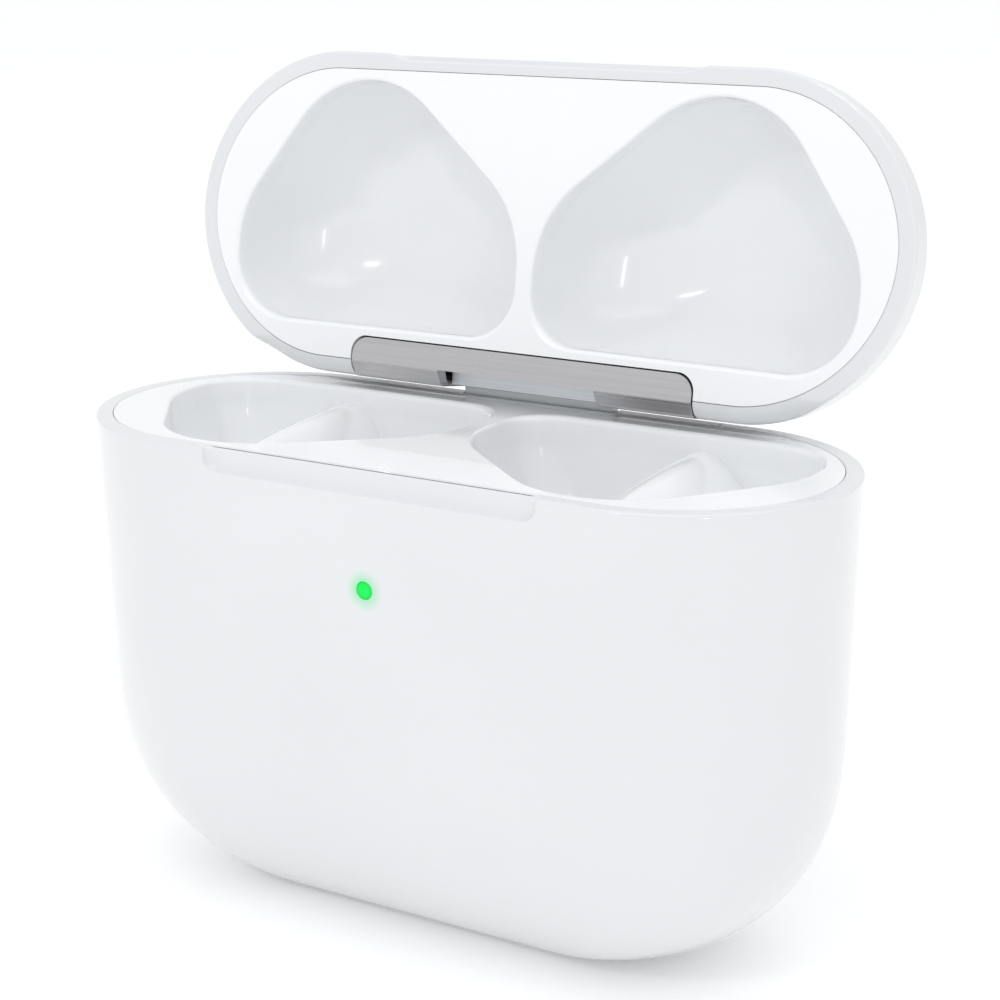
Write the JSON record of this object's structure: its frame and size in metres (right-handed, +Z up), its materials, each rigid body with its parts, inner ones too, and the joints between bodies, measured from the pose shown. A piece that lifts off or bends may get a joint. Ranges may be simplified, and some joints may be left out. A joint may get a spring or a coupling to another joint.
{
  "type": "wireless earbuds case",
  "caption": "Rounded pocket charging case with a hinged lid that stands open over two earbud wells, a thumb recess, a front status light and a metal hinge leaf.",
  "frame": {"origin": "on the surface the case stands on, under the middle of the open case's bounding box, 6.3 mm behind the middle of the base", "axes": "+X to the case's right as seen from the front, along its length; +Y from the front face towards the hinge; +Z up"},
  "size_m": [0.052, 0.034, 0.0532],
  "materials": {
    "white_shell": "high gloss white moulding",
    "white_liner": "gloss white moulding, a little softer than the shells",
    "hinge_metal": "fine brushed, satin",
    "light_guide": "frosted, lit green from behind",
    "circuit_board": "solder mask",
    "battery_foil": "pouch of dark aluminium laminate",
    "foam_pad": "closed-cell foam",
    "amber_film": "thin amber film",
    "copper": "enamelled winding",
    "ferrite": "matt sheet",
    "black_resin": "moulded",
    "gold_plate": "bright plated",
    "magnet": "nickel plated"
  },
  "bodies": {
    "case": {"case_shell": "white_shell", "inner_tray": "white_liner", "hinge_bracket": "hinge_metal", "hinge_pin": "hinge_metal", "hinge_screw_left": "hinge_metal", "hinge_screw_right": "hinge_metal", "led_light_guide": "light_guide", "status_led": "light_guide", "button_switch": "black_resin", "button_flex": "amber_film", "main_board": "circuit_board", "shield_can": "hinge_metal", "hall_sensor": "black_resin", "battery_cell_left": "battery_foil", "battery_cell_right": "battery_foil", "battery_pad_left": "foam_pad", "battery_pad_right": "foam_pad", "battery_flex": "amber_film", "charge_coil": "copper", "coil_shield": "ferrite", "port_shell": "hinge_metal", "port_tongue": "black_resin", "port_trim_ring": "hinge_metal", "port_board": "circuit_board", "contact_carrier_left": "black_resin", "contact_carrier_right": "black_resin", "catch_magnet_left": "magnet", "catch_magnet_right": "magnet", "bud_magnet_left": "magnet", "bud_magnet_right": "magnet"},
    "lid": {"lid_shell": "white_shell", "lid_liner": "white_liner", "lid_hinge_leaf": "hinge_metal", "hinge_spring": "hinge_metal", "lid_magnet_left": "magnet", "lid_magnet_right": "magnet", "lid_sensor_magnet": "magnet"},
    "button": {"pairing_button": "white_shell"},
    "pin_left_inner": {"contact_pin_left_inner": "gold_plate"},
    "pin_left_outer": {"contact_pin_left_outer": "gold_plate"},
    "pin_right_inner": {"contact_pin_right_inner": "gold_plate"},
    "pin_right_outer": {"contact_pin_right_outer": "gold_plate"}
  },
  "joints": [
    {"name": "lid_hinge", "type": "hinge", "parent": "case", "child": "lid", "pos_m": [0, 0.00265, 0.03356], "axis": [1, 0, 0], "range_deg": [0, 100.4]},
    {"name": "pairing_button_press", "type": "slide", "parent": "case", "child": "button", "axis": [0, -1, 0], "range_m": [0, 0.0003], "stiffness_N_per_m": 600, "springref_m": -0.0003},
    {"name": "pin_left_inner_press", "type": "slide", "parent": "case", "child": "pin_left_inner", "axis": [0, 0, -1], "range_m": [0, 0.0005], "stiffness_N_per_m": 80, "springref_m": -0.0003},
    {"name": "pin_left_outer_press", "type": "slide", "parent": "case", "child": "pin_left_outer", "axis": [0, 0, -1], "range_m": [0, 0.0005], "stiffness_N_per_m": 80, "springref_m": -0.0003},
    {"name": "pin_right_inner_press", "type": "slide", "parent": "case", "child": "pin_right_inner", "axis": [0, 0, -1], "range_m": [0, 0.0005], "stiffness_N_per_m": 80, "springref_m": -0.0003},
    {"name": "pin_right_outer_press", "type": "slide", "parent": "case", "child": "pin_right_outer", "axis": [0, 0, -1], "range_m": [0, 0.0005], "stiffness_N_per_m": 80, "springref_m": -0.0003}
  ]
}
